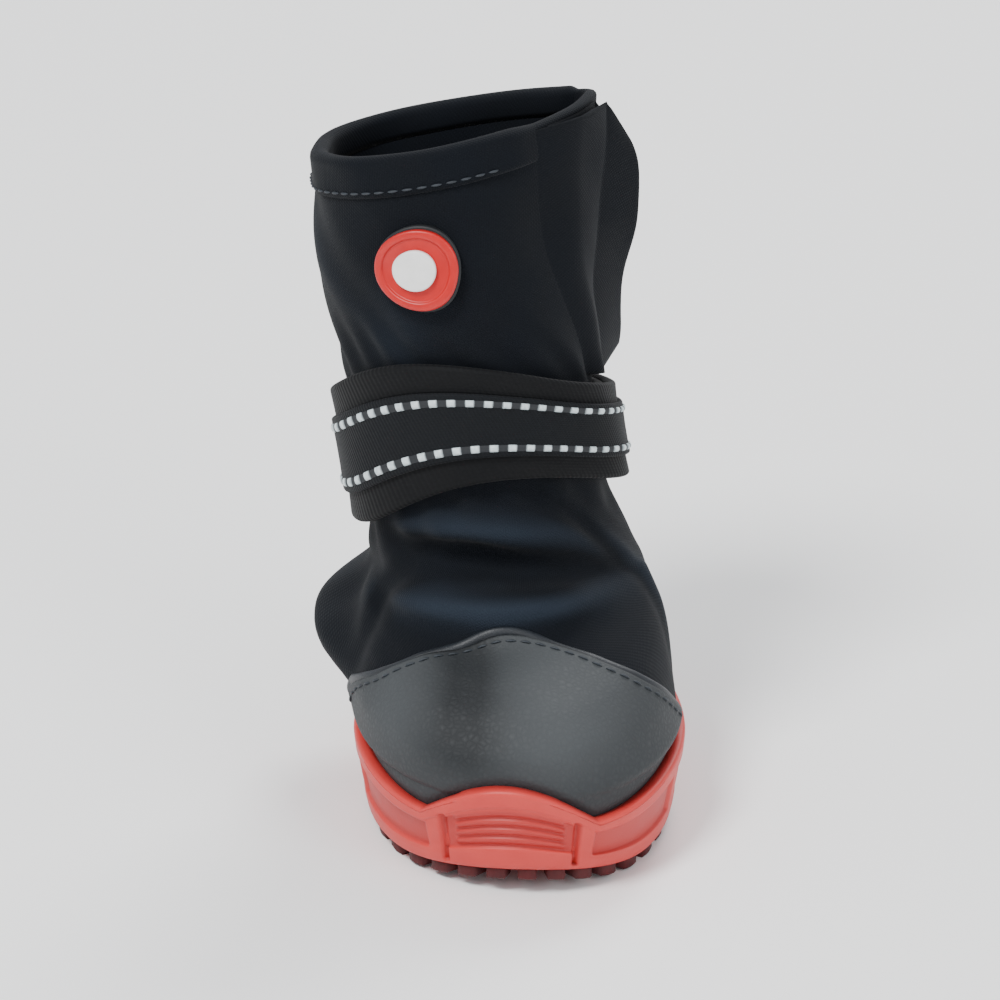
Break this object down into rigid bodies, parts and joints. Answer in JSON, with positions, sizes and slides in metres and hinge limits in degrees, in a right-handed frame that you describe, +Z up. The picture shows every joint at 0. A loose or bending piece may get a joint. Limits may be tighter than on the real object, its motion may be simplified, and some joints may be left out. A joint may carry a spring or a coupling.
{
  "type": "dog boot",
  "caption": "Tall soft dog boot with a lugged rubber cup sole, grained toe cap, wrapped shaft and an ankle strap with reflective lines.",
  "frame": {"origin": "on the ground under the middle of the sole, at the face of the middle lug", "axes": "+Z up the shaft, the toe towards -Y, the boot's right side towards -X"},
  "size_m": [0.0804, 0.1103, 0.1421],
  "materials": {
    "sole_rubber": "satin",
    "insole_foam": "matt foam with a cloth face",
    "upper_fabric": "matt woven stretch cloth",
    "toe_cap_leather": "matt, fine-grained",
    "webbing": "matt woven webbing",
    "reflective_yarn": "pale reflective stitches",
    "badge_black": "matt",
    "badge_red": "satin",
    "badge_white": "satin"
  },
  "bodies": {
    "root": {"outsole": "sole_rubber", "insole": "insole_foam", "upper": "upper_fabric", "toe_cap": "toe_cap_leather", "cap_binding": "webbing", "collar_hem": "upper_fabric", "closure_flap": "upper_fabric", "ankle_strap": "webbing", "strap_ribbon": "webbing", "reflective_line_upper": "reflective_yarn", "reflective_line_lower": "reflective_yarn", "badge_base": "badge_black", "badge_disc": "badge_red", "badge_dot": "badge_white"}
  },
  "joints": []
}
